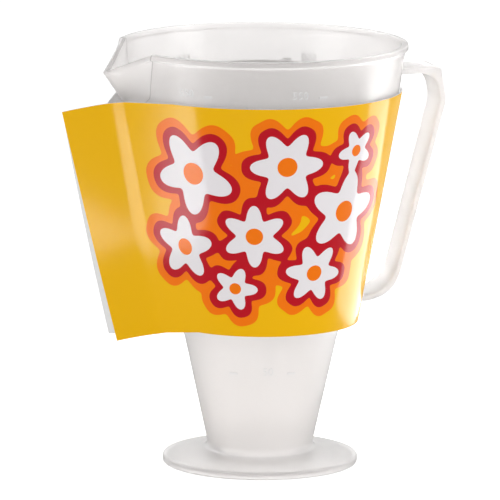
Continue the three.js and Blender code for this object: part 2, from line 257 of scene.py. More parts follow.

# %% [markdown]
# ## The spout
# The spout is the collar's own wall, drawn out to a V when the cup is moulded. Each column of the
# collar near the spout is led onto one of two flat facets that meet in a keel, so the wall keeps
# its thickness and the lip slopes down to the tip in one clean line. A fine crease runs down
# where each facet meets the round wall. It and the lip are given a darker grey plastic, which is
# painted shade for the dark lines that the plastic shows there.

# %% The spout's sizes and its mapping
SPOUT_HALF_ANGLE = 26.0
SPOUT_FOLD_HALF_ANGLE = 20.5
SPOUT_FOLD_DEPTH = 17.0
SPOUT_REACH = 7.6
SPOUT_LIP_DROP = 9.6
SPOUT_KEEL_DEPTH = 27.3
SPOUT_BLEND = 14.0
SPOUT_BLEND_ANGLE = 10
KEEL_FOOT_HALF_ANGLE = 2.0
BEAD_RETURNS_AT = 0.75
FACET_LEAN = 0.79
KEEL_ROUNDING = 0.12
CREASE_DEPTH = 0.15
CREASE_HALF_ANGLE = 0.25
# How far down from the rim the painted shade on the spout's lip reaches.
LIP_SHADE_DEPTH = 0.12

TIP_RADIUS = RIM_RADIUS + SPOUT_REACH
TIP = RIM - SPOUT_LIP_DROP
KEEL_FOOT = RIM - SPOUT_KEEL_DEPTH
FOLD = RIM - SPOUT_FOLD_DEPTH


def keel_radius(height):
    """How far out the keel is at a height. Above the tip it stays there."""
    if height > TIP:
        return TIP_RADIUS
    return mapped(height, KEEL_FOOT, TIP, wall_radius(KEEL_FOOT), TIP_RADIUS)


def fold_angle(height):
    """The half angle between the two base lines of the V at a height."""
    if height > FOLD:
        return mapped(height, FOLD, RIM, SPOUT_FOLD_HALF_ANGLE, SPOUT_HALF_ANGLE)
    if height > KEEL_FOOT:
        return mapped(height, KEEL_FOOT, FOLD, KEEL_FOOT_HALF_ANGLE, SPOUT_FOLD_HALF_ANGLE)
    blend = smooth_step(height, KEEL_FOOT - SPOUT_BLEND, KEEL_FOOT)
    return SPOUT_HALF_ANGLE + (KEEL_FOOT_HALF_ANGLE - SPOUT_HALF_ANGLE) * blend


def soft_share(share):
    """A share of the way from keel to base line, rounded where the keel is."""
    if share < KEEL_ROUNDING:
        eased = share * share / (2 * KEEL_ROUNDING)
    else:
        eased = share - KEEL_ROUNDING / 2
    return eased / (1 - KEEL_ROUNDING / 2)


def lead_to_spout(point):
    """Where a point of the round wall lies once the spout is drawn out."""
    radius = math.hypot(point.x, point.y)
    angle = math.degrees(math.atan2(point.y, -point.x))
    outside = SPOUT_HALF_ANGLE + SPOUT_BLEND_ANGLE
    if point.z < KEEL_FOOT - SPOUT_BLEND or abs(angle) > outside:
        return point
    share = min(1.0, abs(angle) / SPOUT_HALF_ANGLE)
    lip = TIP + (RIM - TIP) * soft_share(share)
    height = point.z
    if height > KEEL_FOOT and share < 1:
        height = mapped(point.z, KEEL_FOOT, RIM, KEEL_FOOT, lip)
    off_wall = radius - wall_radius(point.z)
    if off_wall > 0:
        off_wall *= smooth_step(share, BEAD_RETURNS_AT, 1.0)
    side = math.copysign(1, angle)
    folded = fold_angle(height)
    on_crease = abs(share - 1) < 0.01 and abs(off_wall) < 0.1 and height > KEEL_FOOT
    if on_crease:
        off_wall -= CREASE_DEPTH
    if abs(angle) <= SPOUT_HALF_ANGLE:
        turned = folded * share
    else:
        turned = mapped(abs(angle), SPOUT_HALF_ANGLE, outside, folded, outside)
    if abs(angle) > SPOUT_HALF_ANGLE or height <= KEEL_FOOT:
        at = wall_radius(height) + off_wall
        bearing = math.radians(turned)
        return Vector((-at * math.cos(bearing), side * at * math.sin(bearing), height))
    base_at = wall_radius(height) + off_wall
    bearing = math.radians(folded)
    base = Vector((-base_at * math.cos(bearing), base_at * math.sin(bearing)))
    keel = Vector((-(keel_radius(height) + off_wall / FACET_LEAN), 0))
    plan = keel.lerp(base, soft_share(share))
    return Vector((plan.x, side * plan.y, height))


print("tip at", lead_to_spout(Vector((-RIM_RADIUS, 0, RIM))))

# %% [markdown]
# ## The bowl, stem and foot
# Seen from the side the moulding is one closed outline: foot, stem, bowl, collar and rim bead
# outside, and the same path one wall further in. Spinning that outline about the axis gives
# the body. It is spun in four goes, because the spout's stretch needs columns that fall exactly
# on its two base lines and on both sides of the creases there.

# %% The outline of the wall
SPOUT_ROW = 1.3
PLAIN_ROW = 9.0


def wall_outline():
    """The wall's outline from the foot's middle out and up, over the rim and down to the floor.

    Each corner is (radius, height, rounding).
    """
    underside_slope = (FOOT_HEIGHT - FOOT_EDGE) / (FOOT_RADIUS - STEM_BASE_RADIUS)
    ring_inner = FOOT_RADIUS - FOOT_RING_WIDTH
    ring_roof = FOOT_EDGE - FLOOR
    stem_roof = ring_roof + (ring_inner - STEM_BASE_RADIUS) * underside_slope
    foot = rounded_path([
        (0, 0, 0),
        (STEM_BASE_RADIUS, 0, 0.4),
        (STEM_BASE_RADIUS, stem_roof, 0.8),
        (ring_inner, ring_roof, 0.8),
        (ring_inner, 0, 0.4),
        (FOOT_RADIUS, 0, EDGE_ROUNDING),
        (FOOT_RADIUS, FOOT_EDGE, 1.0),
        (STEM_BASE_RADIUS, FOOT_HEIGHT, 2.2),
        (BOWL_BASE_RADIUS, BOWL_BASE, 12),
        (COLLAR_BASE_RADIUS, COLLAR_BASE, 0),
    ])
    bead_base = RIM - BEAD_DEPTH
    bead = RIM_RADIUS + BEAD_PROUD
    rim = rounded_path([
        (wall_radius(bead_base - 2), bead_base - 2, 0),
        (wall_radius(bead_base), bead_base, 0.5),
        (bead, bead_base + 0.5, 0.5),
        (bead, RIM, EDGE_ROUNDING),
        (RIM_RADIUS - WALL, RIM, EDGE_ROUNDING),
        (RIM_RADIUS - WALL - 0.3, RIM - 2.5, 0),
    ], arc_step=15)
    floor_radius = wall_radius(CUP_FLOOR) - WALL
    inside = rounded_path([
        (COLLAR_BASE_RADIUS - WALL, COLLAR_BASE, 0),
        (BOWL_BASE_RADIUS - WALL, BOWL_BASE, 12),
        (floor_radius, CUP_FLOOR, 2.2),
        (0, CUP_FLOOR, 0),
    ])
    corners = foot + rim + inside
    outline = []
    for start, end in zip(corners, corners[1:]):
        near_spout = max(start.y, end.y) > KEEL_FOOT
        outline += finely(start, end, SPOUT_ROW if near_spout else PLAIN_ROW)
    return outline + [corners[-1]]


outline = wall_outline()
print("outline of", len(outline), "points")

# %% Spin it
PLAIN_COLUMNS = 132
SPOUT_COLUMNS = 28


def spun(bm, points, start_degrees, sweep_degrees, steps):
    """Spins an outline of (radius, height) points about the axis."""
    start = math.radians(start_degrees)
    verts = [bm.verts.new((p.x * math.cos(start), p.x * math.sin(start), p.y)) for p in points]
    edges = [bm.edges.new(pair) for pair in zip(verts, verts[1:])]
    bmesh.ops.spin(
        bm, geom=verts + edges, cent=(0, 0, 0), axis=(0, 0, 1),
        angle=math.radians(sweep_degrees), steps=steps, use_merge=False,
    )


def gets_painted_shade(centre):
    """Tells whether a face lies in one of the spout's creases or on its lip, where shade is painted.
    """
    angle = abs(math.degrees(math.atan2(centre.y, -centre.x)))
    in_crease = abs(angle - SPOUT_HALF_ANGLE) < CREASE_HALF_ANGLE and centre.z > KEEL_FOOT
    on_lip = centre.z > RIM - LIP_SHADE_DEPTH and centre.xy.length < RIM_RADIUS - WALL / 2
    return in_crease or (on_lip and angle < SPOUT_HALF_ANGLE)


def make_body():
    """The moulded body: foot, stem, bowl and collar with its spout."""
    bm = bmesh.new()
    beyond = SPOUT_HALF_ANGLE + CREASE_HALF_ANGLE
    within = SPOUT_HALF_ANGLE - CREASE_HALF_ANGLE
    spun(bm, outline, 180 + beyond, 360 - 2 * beyond, PLAIN_COLUMNS)
    spun(bm, outline, 180 - within, 2 * within, SPOUT_COLUMNS)
    for start in (180 - beyond, 180 + within):
        spun(bm, outline, start, 2 * CREASE_HALF_ANGLE, 2)
    bmesh.ops.remove_doubles(bm, verts=bm.verts, dist=0.002)
    # Faces in the creases and on the spout's lip get the darker grey plastic, which is painted
    # shade.
    for face in bm.faces:
        face.material_index = int(gets_painted_shade(face.calc_center_median()))
    for vert in bm.verts:
        vert.co = lead_to_spout(vert.co)
    bmesh.ops.recalc_face_normals(bm, faces=bm.faces)
    return finish_piece(bm, "cup_body", [plastic, crease_shade_plastic])


cup_body = make_body()
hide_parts("cup")

# %% [markdown]
# ## The handle
# The handle is a flat strap, bent from the collar to the foot of the bowl. Its side view is drawn
# as one outline, pulled to the strap's width, and its long edges are rounded off.

# %% The strap's sizes
STRAP_WIDTH = 18.0
STRAP_THICKNESS = 2.3
STRAP_EDGE = 0.7
HANDLE_TOP_DROP = 10.5
HANDLE_REACH = 17.39
HANDLE_SHOULDER_DROP = 12.4
HANDLE_SHOULDER_FLARE = 2.3
HANDLE_FOOT_RISE = 14.5
HANDLE_FOOT_REACH = 17.8
HANDLE_TOP_BEND = 1.6
HANDLE_SHOULDER_BEND = 9.0
HANDLE_LOWER_BEND = 15.0
STRAP_TOP = RIM - HANDLE_TOP_DROP
STRAP_FOOT = BOWL_BASE + HANDLE_FOOT_RISE


def strap_corners():
    """The outer face's corners, from the collar out, down the grip and back to the bowl."""
    top_reach = wall_radius(STRAP_TOP) + HANDLE_REACH - HANDLE_SHOULDER_FLARE
    root = WALL / 2
    return [
        (wall_radius(STRAP_TOP) - root, STRAP_TOP, 0),
        (top_reach, STRAP_TOP, HANDLE_TOP_BEND),
        (top_reach + HANDLE_SHOULDER_FLARE, STRAP_TOP - HANDLE_SHOULDER_DROP, HANDLE_SHOULDER_BEND),
        (wall_radius(STRAP_FOOT) + HANDLE_FOOT_REACH, STRAP_FOOT, HANDLE_LOWER_BEND),
        (wall_radius(STRAP_FOOT) - root, STRAP_FOOT, 0),
    ]


def inner_corners(outer):
    """The inner face's corners, one thickness to the inside of the outer ones."""
    places = [Vector(corner[:2]) for corner in outer]
    sideways = []
    for start, end in zip(places, places[1:]):
        along = (end - start).normalized()
        sideways.append(Vector((along.y, -along.x)))
    inner = []
    for i, place in enumerate(places):
        before = sideways[max(0, i - 1)]
        after = sideways[min(len(sideways) - 1, i)]
        middle = (before + after).normalized()
        moved = place + middle * (STRAP_THICKNESS / middle.dot(after))
        radius = outer[i][2]
        if i == 1:
            radius = HANDLE_SHOULDER_BEND - HANDLE_TOP_BEND
        elif radius:
            radius -= STRAP_THICKNESS
        inner.append((moved.x, moved.y, radius))
    return inner


print("strap from", round(STRAP_FOOT, 1), "to", round(STRAP_TOP, 1), "mm high")


# %% Pull the strap across
def make_handle():
    """The strap, from its side view, with its long edges rounded."""
    outer = strap_corners()
    side_view = rounded_path(outer) + rounded_path(inner_corners(outer))[::-1]
    bm = bmesh.new()
    verts = [bm.verts.new((p.x, -STRAP_WIDTH / 2, p.y)) for p in side_view]
    face = bm.faces.new(verts)
    pulled = bmesh.ops.extrude_face_region(bm, geom=[face])
    far_verts = [item for item in pulled["geom"] if isinstance(item, bmesh.types.BMVert)]
    bmesh.ops.translate(bm, verts=far_verts, vec=(0, STRAP_WIDTH, 0))
    sides = [f for f in bm.faces if len(f.verts) > 4]
    long_edges = {edge for side in sides for edge in side.edges}
    bmesh.ops.bevel(
        bm, geom=list(long_edges), offset=STRAP_EDGE, segments=3, profile=0.5,
        affect="EDGES", material=-1,
    )
    bmesh.ops.recalc_face_normals(bm, faces=bm.faces)
    return finish_piece(bm, "cup_handle", [plastic])


make_handle()

# %% [markdown]
# ## The graduations
# The marks are cut into the mould, so they stand a little proud of the wall: short ticks at equal
# steps of volume and plain numbers beside the long ones. The levels are worked out from the
# bowl's own shape. Flat marks are bent round the wall after they are made.

# %% Levels and places
TICK_VOLUME = 50
TICKS_PER_LONG_TICK = 2
TICK_HEIGHT = 0.8
TICK_CUTS = 4
MARK_PROUD = 0.25
MARK_DEPTH = 0.5
TICK_LENGTH = 3.2
LONG_TICK_LENGTH = 5.6
NUMBER_SIZE = 4.2
NUMBER_LIFT = 1.6
NUMBER_ASIDE = 9
FRONT_COLUMNS = (-80, -128)
BACK_COLUMNS = (64, 120)
MILLILITRE = 1000


def tick_levels():
    """The heights at which the cup holds one step of volume, two steps, and so on."""
    levels = []
    held = 0.0
    height = CUP_FLOOR
    thickness = 0.05
    while height < TIP - TICK_HEIGHT:
        held += math.pi * (wall_radius(height) - WALL) ** 2 * thickness / MILLILITRE
        height += thickness
        if held >= TICK_VOLUME * (len(levels) + 1):
            levels.append(height)
    return levels


def bend_round_wall(verts, angle_degrees, height):
    """Bends flat marks, drawn in XY with Z outwards, round the wall at a level and bearing."""
    radius = wall_radius(height)
    for vert in verts:
        level = height + vert.co.y
        out = wall_radius(level) + vert.co.z
        bearing = math.radians(angle_degrees) + vert.co.x / radius
        vert.co = Vector((out * math.cos(bearing), out * math.sin(bearing), level))


levels = tick_levels()
print("levels", [round(level, 1) for level in levels])


# %% Ticks and numbers
def add_mark(bm, mark, angle, height):
    """Bends a flat mark round the wall and adds it to the graduations."""
    bend_round_wall(mark.verts, angle, height)
    mesh = bpy.data.meshes.new("mark")
    mark.to_mesh(mesh)
    mark.free()
    bm.from_mesh(mesh)
    bpy.data.meshes.remove(mesh)


def add_tick(bm, angle, height, length):
    """One raised tick, in short lengths so that it follows the wall."""
    mark = bmesh.new()
    bmesh.ops.create_cube(mark, size=1)
    bmesh.ops.scale(mark, vec=(length, TICK_HEIGHT, MARK_PROUD + MARK_DEPTH), verts=mark.verts)
    bmesh.ops.translate(mark, vec=(0, 0, (MARK_PROUD - MARK_DEPTH) / 2), verts=mark.verts)
    lengthways = [edge for edge in mark.edges if edge.calc_length() > length / 2]
    bmesh.ops.subdivide_edges(mark, edges=lengthways, cuts=TICK_CUTS)
    add_mark(bm, mark, angle, height)


def add_number(bm, text, angle, height):
    """A plain number, made from a text curve and bent round the wall."""
    curve = bpy.data.curves.new("number", "FONT")
    curve.body = text
    curve.size = NUMBER_SIZE
    curve.align_x = "CENTER"
    curve.resolution_u = 3
    curve.extrude = (MARK_PROUD + MARK_DEPTH) / 2
    holder = bpy.data.objects.new("number", curve)
    bpy.context.scene.collection.objects.link(holder)
    bpy.context.view_layer.update()
    shown = holder.evaluated_get(bpy.context.evaluated_depsgraph_get())
    flat = bpy.data.meshes.new_from_object(shown)
    mark = bmesh.new()
    mark.from_mesh(flat)
    bpy.data.meshes.remove(flat)
    bpy.data.objects.remove(holder)
    bpy.data.curves.remove(curve)
    outwards = (MARK_PROUD - MARK_DEPTH) / 2
    bmesh.ops.translate(mark, vec=(0, NUMBER_LIFT, outwards), verts=mark.verts)
    add_mark(bm, mark, angle, height)


def make_graduations():
    """All columns of ticks. Every first column has numbers, and every second only its last."""
    bm = bmesh.new()
    for column, angle in enumerate(FRONT_COLUMNS + BACK_COLUMNS):
        for step, height in enumerate(levels, start=1):
            is_long = step % TICKS_PER_LONG_TICK == 0
            add_tick(bm, angle, height, LONG_TICK_LENGTH if is_long else TICK_LENGTH)
            if column % 2 == 0 or step == len(levels):
                aside = math.degrees(NUMBER_ASIDE / wall_radius(height))
                add_number(bm, str(step * TICK_VOLUME), angle - aside, height - NUMBER_SIZE / 2)
    bmesh.ops.remove_doubles(bm, verts=bm.verts, dist=0.001)
    bmesh.ops.recalc_face_normals(bm, faces=bm.faces)
    return finish_piece(bm, "graduations", [mark_plastic])


make_graduations()

# %% [markdown]
# ## The sleeve's shape
# The sleeve is a flat piece of card, bent round the bowl and glued to itself in a fin beyond the
# spout. Card only bends one way, so all its straight lines run to one point far below the cup.
# The plan at the top edge is drawn once, and each of its points is carried down such a line.

# %% The sleeve's sizes
CARD = 0.45
SLEEVE_CLEARANCE = 0.6
SLEEVE_TOP = COLLAR_BASE + 2.1
SLEEVE_BOTTOM = BOWL_BASE + 7.9
SLEEVE_BOTTOM_STANDOFF = 6.2
SLEEVE_BACK_RISE = 3.0
BACK_RISE_ANGLE = 75.0
BACK_RISE_SPREAD = 75
SLOT_CLEARANCE = 1.0
KEEL_TO_PINCH = 6.6
PINCH_ANGLE = 5.1
FIN_SWING = 35.2
FIN_LENGTH = 19.2
FIN_FOOT_SPREAD = 4.0
FIN_TOP_DROP = 1.8
FIN_BOTTOM_DROP = 2.8
PINCH_TOP_DROP = 1.0
PINCH_BOTTOM_DROP = 2.1
FRONT_BEND_RADIUS = 25.0
BACK_LAYER_OVERHANG = 4.0
BACK_LAYER_RISE = 3.4

bottom_radius = wall_radius(SLEEVE_BOTTOM) + SLEEVE_BOTTOM_STANDOFF
sleeve_slope = max(
    (wall_radius(level) + SLEEVE_CLEARANCE + CARD / 2 - bottom_radius) / (level - SLEEVE_BOTTOM)
    for level in (COLLAR_BASE, SLEEVE_TOP + SLEEVE_BACK_RISE)
)
top_radius = bottom_radius + sleeve_slope * (SLEEVE_TOP - SLEEVE_BOTTOM)
apex_height = SLEEVE_BOTTOM - bottom_radius / sleeve_slope
cone_height = SLEEVE_TOP - apex_height
top_slant = math.hypot(top_radius, cone_height)
bottom_slant = math.hypot(bottom_radius, SLEEVE_BOTTOM - apex_height)
print("sleeve radius", round(top_radius, 2), "to", round(bottom_radius, 2))


# %% The plan of the card
def polar(radius, degrees):
    """A point of the plan from its radius and bearing."""
    bearing = math.radians(degrees)
    return Vector((radius * math.cos(bearing), radius * math.sin(bearing)))


pinch = polar(keel_radius(SLEEVE_TOP - CARD) + KEEL_TO_PINCH, 180 + PINCH_ANGLE)
fin_direction = polar(1, 180 - FIN_SWING)
fin_front = Vector((-fin_direction.y, fin_direction.x))
FIN_STEPS = 6
BEND_STEPS = 10
ROUND_STEPS = 150
BACK_STEPS = 8


def sleeve_plan():
    """The card's middle line from the fin's front layer, round the cup, to its back layer."""
    bend_centre = pinch + fin_front * FRONT_BEND_RADIUS
    centre_angle = math.degrees(math.atan2(bend_centre.y, bend_centre.x))
    lean = math.degrees(math.acos((top_radius + FRONT_BEND_RADIUS) / bend_centre.length))
    front_angle = centre_angle + lean
    back_angle = 180 + PINCH_ANGLE - math.degrees(math.acos(top_radius / pinch.length))
    front_layer = pinch
    back_layer = pinch - fin_front * CARD
    plan = []
    for step in range(FIN_STEPS):
        plan.append(front_layer + fin_direction * FIN_LENGTH * (1 - step / FIN_STEPS))
    for step in range(BEND_STEPS + 1):
        angle = mapped(step, 0, BEND_STEPS, 90 - FIN_SWING, front_angle + 180)
        plan.append(bend_centre + polar(FRONT_BEND_RADIUS, angle))
    for step in range(ROUND_STEPS + 1):
        plan.append(polar(top_radius, mapped(step, 0, ROUND_STEPS, front_angle, back_angle)))
    last_round = plan[-1]
    for step in range(1, BACK_STEPS):
        plan.append(last_round.lerp(back_layer, step / BACK_STEPS))
    for step in range(FIN_STEPS + 1):
        plan.append(back_layer + fin_direction * FIN_LENGTH * step / FIN_STEPS)
    return plan


def on_ruling(plan, slant):
    """The point at a slant distance from the apex, on the line through a point of the plan."""
    share = slant / math.hypot(plan.x, plan.y, cone_height)
    return Vector((plan.x * share, plan.y * share, apex_height + cone_height * share))


def back_rise(plan):
    """How much higher the top edge runs at the back."""
    bearing = math.degrees(math.atan2(plan.y, plan.x))
    away = min(1, abs(bearing - BACK_RISE_ANGLE) / BACK_RISE_SPREAD)
    return SLEEVE_BACK_RISE * math.cos(away * math.pi / 2) ** 2


def stand_off(plan):
    """How far a point of the plan has left the round: 0 on the round and 1 from the pinch on."""
    out = (plan.length - top_radius) / (pinch.length - top_radius)
    return 1 - (1 - min(1.0, max(0.0, out))) ** 2


plan = sleeve_plan()
print("plan of", len(plan), "points")

# %% [markdown]
# ## Bending the card
# One row of edges along the bottom is extruded upwards, row by row. Each vertex keeps its place on
# the flat card as its UV, in millimetres, so the print can be drawn flat and never stretches.
# The slot for the handle is cut with three straight cuts before the card gets its thickness.

# %% Bend, cut and thicken
ROWS = 20
FLAT_ZERO_ANGLE = -105.5
HANDLE_SIDE = 20


def flat_places():
    """For each plan point, the angle of its line on the flat card, measured from the front."""
    lines = [Vector((p.x, p.y, cone_height)).normalized() for p in plan]
    turned = [0.0]
    for before, after in zip(lines, lines[1:]):
        turned.append(turned[-1] + before.angle(after))
    bearings = [math.degrees(math.atan2(p.y, p.x)) for p in plan]
    round_part = range(FIN_STEPS + BEND_STEPS + 1, len(plan) - BACK_STEPS - FIN_STEPS)
    zero = min(round_part, key=lambda i: abs(bearings[i] - FLAT_ZERO_ANGLE))
    return [turn - turned[zero] for turn in turned]


def fin_share(i):
    """How far out on the fin a plan point lies: 0 up to the pinch and 1 at the fin's end."""
    return max(0, FIN_STEPS - i, i - (len(plan) - 1 - FIN_STEPS)) / FIN_STEPS


def slants(i):
    """The bottom and top slant of a plan point."""
    on_fin = fin_share(i)
    low = bottom_slant - PINCH_BOTTOM_DROP * stand_off(plan[i])
    low -= (FIN_BOTTOM_DROP - PINCH_BOTTOM_DROP) * on_fin
    high = top_slant + back_rise(plan[i]) - PINCH_TOP_DROP * stand_off(plan[i])
    high -= (FIN_TOP_DROP - PINCH_TOP_DROP) * on_fin
    if i > len(plan) / 2:
        low += BACK_LAYER_RISE * on_fin
    return low, high


def place_on_card(i, row):
    """A vertex of the bent card and its slant. The fin is wider at its foot."""
    low, high = slants(i)
    share = row / ROWS
    spread = FIN_FOOT_SPREAD
    if i > len(plan) / 2:
        spread += BACK_LAYER_OVERHANG
    spot = plan[i] + fin_direction * (spread * fin_share(i) * (1 - share))
    slant = low + (high - low) * share
    return on_ruling(spot, slant), slant


def make_card_sheet(bm):
    """The bent card without thickness, row by row, with its flat places as UVs."""
    flat = flat_places()
    place = bm.loops.layers.uv.new("card_flat")
    verts = [bm.verts.new(place_on_card(i, 0)[0]) for i in range(len(plan))]
    row_edges = [bm.edges.new(pair) for pair in zip(verts, verts[1:])]
    spots = {vert: (i, 0) for i, vert in enumerate(verts)}
    for row in range(1, ROWS + 1):
        made = bmesh.ops.extrude_edge_only(bm, edges=row_edges)
        row_edges = [item for item in made["geom"] if isinstance(item, bmesh.types.BMEdge)]
        fresh = [item for item in made["geom"] if isinstance(item, bmesh.types.BMVert)]
        below = {
            tuple(round(c, 5) for c in vert.co): spot
            for vert, spot in spots.items() if spot[1] == row - 1
        }
        for vert in fresh:
            i, _ = below[tuple(round(c, 5) for c in vert.co)]
            spots[vert] = (i, row)
        for vert in fresh:
            vert.co = place_on_card(*spots[vert])[0]
    for face in bm.faces:
        for loop in face.loops:
            i, row = spots[loop.vert]
            slant = place_on_card(i, row)[1]
            loop[place].uv = (slant * math.sin(flat[i]), slant * math.cos(flat[i]))


def cut_slot(bm):
    """Cuts the slot that the strap comes through, open at the top edge."""
    half = STRAP_WIDTH / 2 + SLOT_CLEARANCE
    slot_bottom = STRAP_FOOT - SLOT_CLEARANCE
    planes = [
        ((0, half, 0), (0, 1, 0)),
        ((0, -half, 0), (0, 1, 0)),
        ((0, 0, slot_bottom), (0, 0, 1)),
    ]
    for spot, normal in planes:
        near = [f for f in bm.faces if f.calc_center_median().x > HANDLE_SIDE]
        parts = {item for f in near for item in (*f.verts, *f.edges, f)}
        bmesh.ops.bisect_plane(bm, geom=list(parts), dist=1e-4, plane_co=spot, plane_no=normal)
    inside = []
    for face in bm.faces:
        middle = face.calc_center_median()
        if middle.x > HANDLE_SIDE and abs(middle.y) < half and middle.z > slot_bottom:
            inside.append(face)
    bmesh.ops.delete(bm, geom=inside, context="FACES")


def make_sleeve(printed, inside):
    """The card sleeve: the sheet is moved out by half the card and thickened inwards."""
    bm = bmesh.new()
    make_card_sheet(bm)
    cut_slot(bm)
    bm.normal_update()
    sheet = set(bm.faces)
    front = min(sheet, key=lambda face: face.calc_center_median().y)
    if front.normal.y > 0:
        bmesh.ops.reverse_faces(bm, faces=bm.faces)
        bm.normal_update()
    outwards = {vert: vert.normal.copy() for vert in bm.verts}
    for vert, normal in outwards.items():
        vert.co += normal * (CARD / 2)
    bmesh.ops.solidify(bm, geom=bm.faces, thickness=CARD)
    for face in bm.faces:
        face.material_index = 0 if face in sheet else 1
    return finish_piece(bm, "card_sleeve", [printed, inside], sharp_degrees=50)


print("slot", round(STRAP_WIDTH + 2 * SLOT_CLEARANCE, 1), "mm wide")

# %% [markdown]
# ## The print
# The card is printed yellow, with pale flowers that each have a red and an orange border. Where
# flowers come close their borders run together. A distance field does this without a picture: each
# shape gives the distance to its edge in millimetres, the smallest one counts, and bands of that
# distance become the colours.

# %% Node group for one flower
CENTRE_SOFTENING = 2.0


def make_flower_group():
    """A shader node group: the distance from a place on the card to a flower's edge."""
    tree = bpy.data.node_groups.new("flower_distance", "ShaderNodeTree")
    for name in ("Place", "Centre"):
        tree.interface.new_socket(name=name, in_out="INPUT", socket_type="NodeSocketVector")
    for name in ("Radius", "Petals", "Depth", "Turn"):
        tree.interface.new_socket(name=name, in_out="INPUT", socket_type="NodeSocketFloat")
    tree.interface.new_socket(name="Distance", in_out="OUTPUT", socket_type="NodeSocketFloat")
    given = add_node(tree, "NodeGroupInput").outputs
    result = add_node(tree, "NodeGroupOutput")
    away = add_node(tree, "ShaderNodeVectorMath", operation="SUBTRACT")
    tree.links.new(given["Place"], away.inputs[0])
    tree.links.new(given["Centre"], away.inputs[1])
    length = add_node(tree, "ShaderNodeVectorMath", operation="LENGTH")
    tree.links.new(away.outputs[0], length.inputs[0])
    axes = add_node(tree, "ShaderNodeSeparateXYZ")
    tree.links.new(away.outputs[0], axes.inputs[0])
    bearing = math_node(tree, "ARCTAN2", axes.outputs["Y"], axes.outputs["X"])
    turned = math_node(tree, "ADD", bearing, given["Turn"])
    phase = math_node(tree, "MULTIPLY", turned, given["Petals"])
    wave = math_node(tree, "COSINE", phase)
    lobe = math_node(tree, "MULTIPLY", wave, given["Depth"])
    edge = math_node(tree, "ADD", given["Radius"], lobe)
    beyond = math_node(tree, "SUBTRACT", length.outputs["Value"], edge)
    swing = math_node(tree, "MULTIPLY", math_node(tree, "SINE", phase), given["Depth"])
    per_turn = math_node(tree, "MULTIPLY", swing, given["Petals"])
    softened = math_node(tree, "ADD", length.outputs["Value"], CENTRE_SOFTENING)
    flank = math_node(tree, "DIVIDE", per_turn, softened)
    steepness = math_node(tree, "SQRT", math_node(tree, "MULTIPLY_ADD", flank, flank, 1.0))
    tree.links.new(math_node(tree, "DIVIDE", beyond, steepness), result.inputs["Distance"])
    return tree


flower_group = make_flower_group()
print("made", flower_group.name)

# %% The flowers' places on the flat card
MIDDLE = (top_slant + bottom_slant) / 2
FLOWERS = [
    # across and up from the middle of the card, radius, petals, petal depth, turn
    (-27, 17, 12.5, 5, 3.6, 0.3),
    (9, 22, 11.0, 6, 2.8, 0.0),
    (33, 1, 12.0, 5, 3.4, 1.2),
    (-3, -5, 9.5, 6, 2.6, 0.5),
    (-31, -13, 9.5, 5, 2.8, 0.9),
    (20, -21, 9.0, 6, 2.4, 0.2),
    (-10, -26, 6.5, 5, 1.9, 0.0),
    (38, 24, 6.5, 5, 1.9, 0.6),
]
EYE_SHARE = 0.34
RED_BAND = 3.2
ORANGE_BAND = 6.6
BORDER_MERGE = 3.0
print(len(FLOWERS), "flowers round the slant", round(MIDDLE, 1))

# %% Printed card
YELLOW = (0.9, 0.49, 0.0, 1)
ORANGE = (0.92, 0.185, 0.0, 1)
RED = (0.50, 0.002, 0.012, 1)
PALE = (0.83, 0.80, 0.82, 1)


CARD_ROUGHNESS = 0.5
CARD_SPECULAR = 0.02
VARNISH = 0.25
VARNISH_ROUGHNESS = 0.12
CARD_GRAIN = 40
CARD_BUMP = (0.2, 0.0008)
FIBRE_GRAIN = 900
FIBRE_BUMP = (0.15, 0.0002)
WHITE_ROUGHNESS = 0.7
WHITE_SHADES = (0.8, 0.86)


def flower_distances(tree):
    """The distance to the nearest flower's edge and to the nearest eye's edge."""
    flat = add_node(tree, "ShaderNodeUVMap", uv_map="card_flat").outputs["UV"]
    nearest = None
    nearest_eye = None
    for across, up, radius, petals, depth, turn in FLOWERS:
        centre = (across, MIDDLE + up, 0)
        flower = add_node(tree, "ShaderNodeGroup", node_tree=flower_group)
        tree.links.new(flat, flower.inputs["Place"])
        given = {"Centre": centre, "Radius": radius, "Petals": petals, "Depth": depth, "Turn": turn}
        for name, value in given.items():
            flower.inputs[name].default_value = value
        eye = add_node(tree, "ShaderNodeVectorMath", operation="DISTANCE")
        tree.links.new(flat, eye.inputs[0])
        eye.inputs[1].default_value = centre
        edge = flower.outputs["Distance"]
        eye_edge = math_node(tree, "SUBTRACT", eye.outputs["Value"], radius * EYE_SHARE)
        if nearest is None:
            nearest = edge
            nearest_eye = eye_edge
        else:
            nearest = math_node(tree, "SMOOTH_MIN", nearest, edge, BORDER_MERGE)
            nearest_eye = math_node(tree, "MINIMUM", nearest_eye, eye_edge)
    return nearest, nearest_eye


def make_printed_card():
    """Glossy printed card: bands of colour round the flowers, each laid over the last."""
    material, shader, tree = new_material("printed_card")
    nearest, nearest_eye = flower_distances(tree)
    bands = [
        (ORANGE, nearest, ORANGE_BAND),
        (RED, nearest, RED_BAND),
        (PALE, nearest, 0.0),
        (ORANGE, nearest_eye, 0.0),
    ]
    so_far = None
    for tint, distance, edge in bands:
        mix = add_node(tree, "ShaderNodeMix", data_type="RGBA")
        tree.links.new(math_node(tree, "LESS_THAN", distance, edge), mix.inputs[0])
        mix.inputs[6].default_value = YELLOW
        mix.inputs[7].default_value = tint
        if so_far is not None:
            tree.links.new(so_far, mix.inputs[6])
        so_far = mix.outputs[2]
    tree.links.new(so_far, shader.inputs["Base Color"])
    shader.inputs["Roughness"].default_value = CARD_ROUGHNESS
    shader.inputs["Specular IOR Level"].default_value = CARD_SPECULAR
    shader.inputs["Coat Weight"].default_value = VARNISH
    shader.inputs["Coat Roughness"].default_value = VARNISH_ROUGHNESS
    bump(tree, shader, add_noise(tree, CARD_GRAIN), *CARD_BUMP)
    return material


